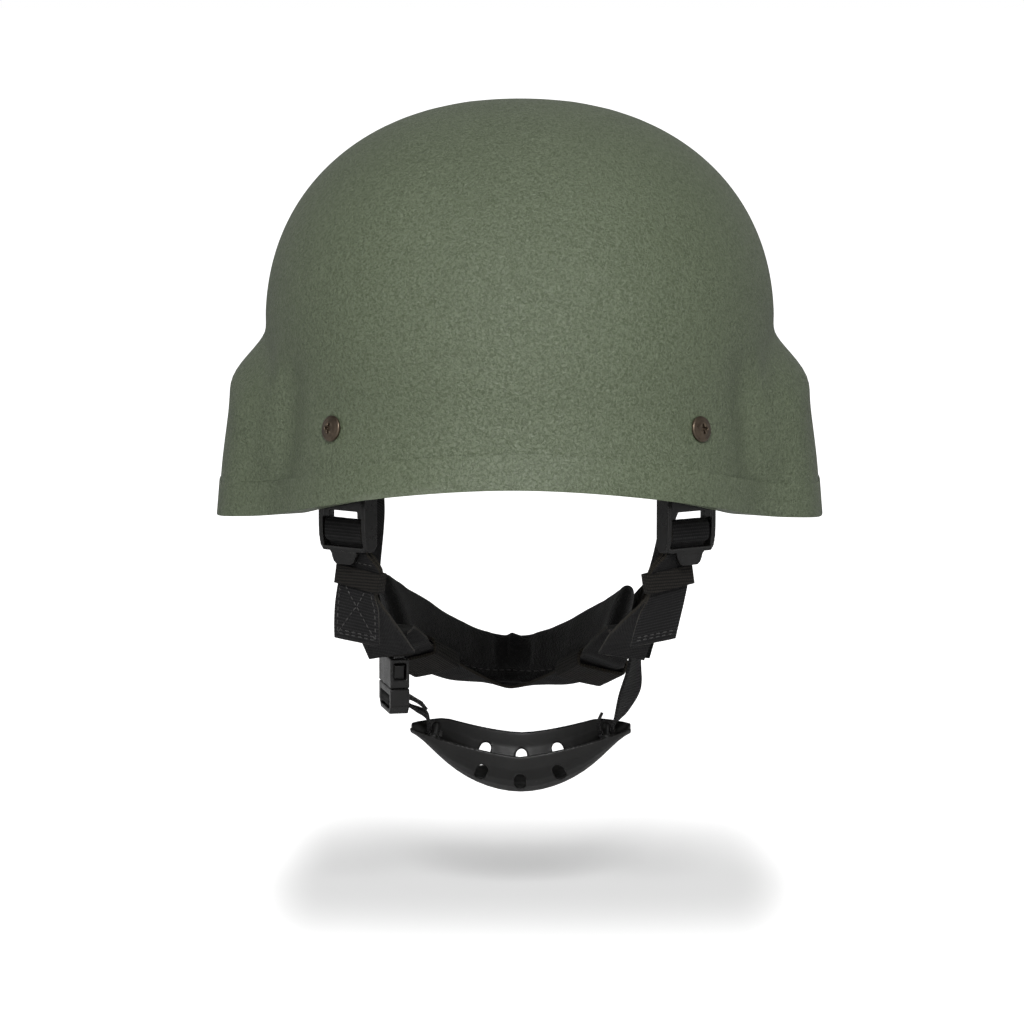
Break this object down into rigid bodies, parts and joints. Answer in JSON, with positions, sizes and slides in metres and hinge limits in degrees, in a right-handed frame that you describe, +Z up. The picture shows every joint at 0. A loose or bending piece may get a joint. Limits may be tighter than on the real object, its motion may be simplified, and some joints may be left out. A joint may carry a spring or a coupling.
{
  "type": "combat helmet",
  "caption": "Moulded combat helmet with flared rim and ear bulges, rubber edge, fastened pads, webbing harness with strap adjusters, padded nape band, side-release buckle and slotted chin cup.",
  "frame": {"origin": "middle of the crown pad's underside, where the wearer's head rests", "axes": "+Z up, -Y towards the brow, +X towards the right of the picture"},
  "size_m": [0.251, 0.2804, 0.2865],
  "materials": {
    "shell_paint": "matt fine-textured paint over moulded aramid",
    "trim_rubber": "painted matt rubber",
    "dark_bronze": "dark coated steel",
    "hook_tape": "hook tape",
    "pad_cloth": "brushed knit over foam",
    "webbing": "ribbed woven webbing",
    "elastic_band": "woven elastic",
    "fleece": "napped fleece over foam",
    "moulded_acetal": "satin moulded plastic",
    "cup_plastic": "soft moulded plastic"
  },
  "bodies": {
    "helmet": {"shell": "shell_paint", "edge_trim": "trim_rubber", "screws": "dark_bronze", "post_nuts": "dark_bronze", "grommets": "dark_bronze", "hook_discs": "hook_tape", "crown_pad": "pad_cloth", "brow_pad": "pad_cloth", "nape_shell_pad": "pad_cloth", "left_temple_pad": "pad_cloth", "right_temple_pad": "pad_cloth", "left_ear_pad": "pad_cloth", "right_ear_pad": "pad_cloth", "left_anchor": "webbing", "right_anchor": "webbing", "left_front_strap": "webbing", "right_front_strap": "webbing", "left_keeper": "elastic_band", "right_keeper": "elastic_band", "nape_pad": "fleece", "nape_strap": "webbing", "left_nape_loop": "elastic_band", "right_nape_loop": "elastic_band", "left_rear_tab": "webbing", "right_rear_tab": "webbing", "left_rear_strap": "webbing", "right_rear_strap": "webbing"},
    "left_lock": {"left_ladderlock": "moulded_acetal"},
    "right_lock": {"right_ladderlock": "moulded_acetal"},
    "chin_set": {"buckle_socket": "moulded_acetal", "upper_chin_strap": "webbing", "right_chin_strap": "webbing", "lower_chin_strap": "webbing"},
    "cup": {"chin_cup": "cup_plastic"},
    "plug": {"buckle_plug": "moulded_acetal"},
    "front_catch": {"front_prong": "moulded_acetal"},
    "rear_catch": {"rear_prong": "moulded_acetal"}
  },
  "joints": [
    {"name": "left_lock_tilt", "type": "hinge", "parent": "helmet", "child": "left_lock", "pos_m": [-0.06746, -0.07859, -0.1205], "axis": [0.809, -0.5878, 0], "range_deg": [-3, 30], "deforming": ["left_front_strap"]},
    {"name": "right_lock_tilt", "type": "hinge", "parent": "helmet", "child": "right_lock", "pos_m": [0.06746, -0.07859, -0.1205], "axis": [0.809, 0.5878, 0], "range_deg": [-3, 30], "deforming": ["right_front_strap"]},
    {"name": "chin_swing", "type": "hinge", "parent": "helmet", "child": "chin_set", "pos_m": [0, -0.01409, -0.1925], "axis": [1, 0, 0], "range_deg": [-10, 12], "deforming": ["upper_chin_strap", "right_chin_strap"]},
    {"name": "cup_tilt", "type": "hinge", "parent": "chin_set", "child": "cup", "pos_m": [0, -0.01409, -0.2325], "axis": [1, 0, 0], "range_deg": [-20, 20], "deforming": ["lower_chin_strap", "right_chin_strap"]},
    {"name": "buckle_release", "type": "slide", "parent": "chin_set", "child": "plug", "axis": [0, 0, -1], "range_m": [0, 0.014], "deforming": ["lower_chin_strap"]},
    {"name": "front_catch_squeeze", "type": "hinge", "parent": "plug", "child": "front_catch", "pos_m": [-0.04972, -0.02398, -0.2125], "axis": [0.9744, 0.225, 0], "range_deg": [-14.2, 0], "stiffness_Nm_per_rad": 0.02},
    {"name": "rear_catch_squeeze", "type": "hinge", "parent": "plug", "child": "rear_catch", "pos_m": [-0.05428, -0.0042, -0.2125], "axis": [0.9744, 0.225, 0], "range_deg": [0, 14.2], "stiffness_Nm_per_rad": 0.02}
  ],
  "couplings": [
    {"joint": "front_catch_squeeze", "follows": "buckle_release", "rad_per_m": -17.453},
    {"joint": "rear_catch_squeeze", "follows": "buckle_release", "rad_per_m": 17.453}
  ]
}
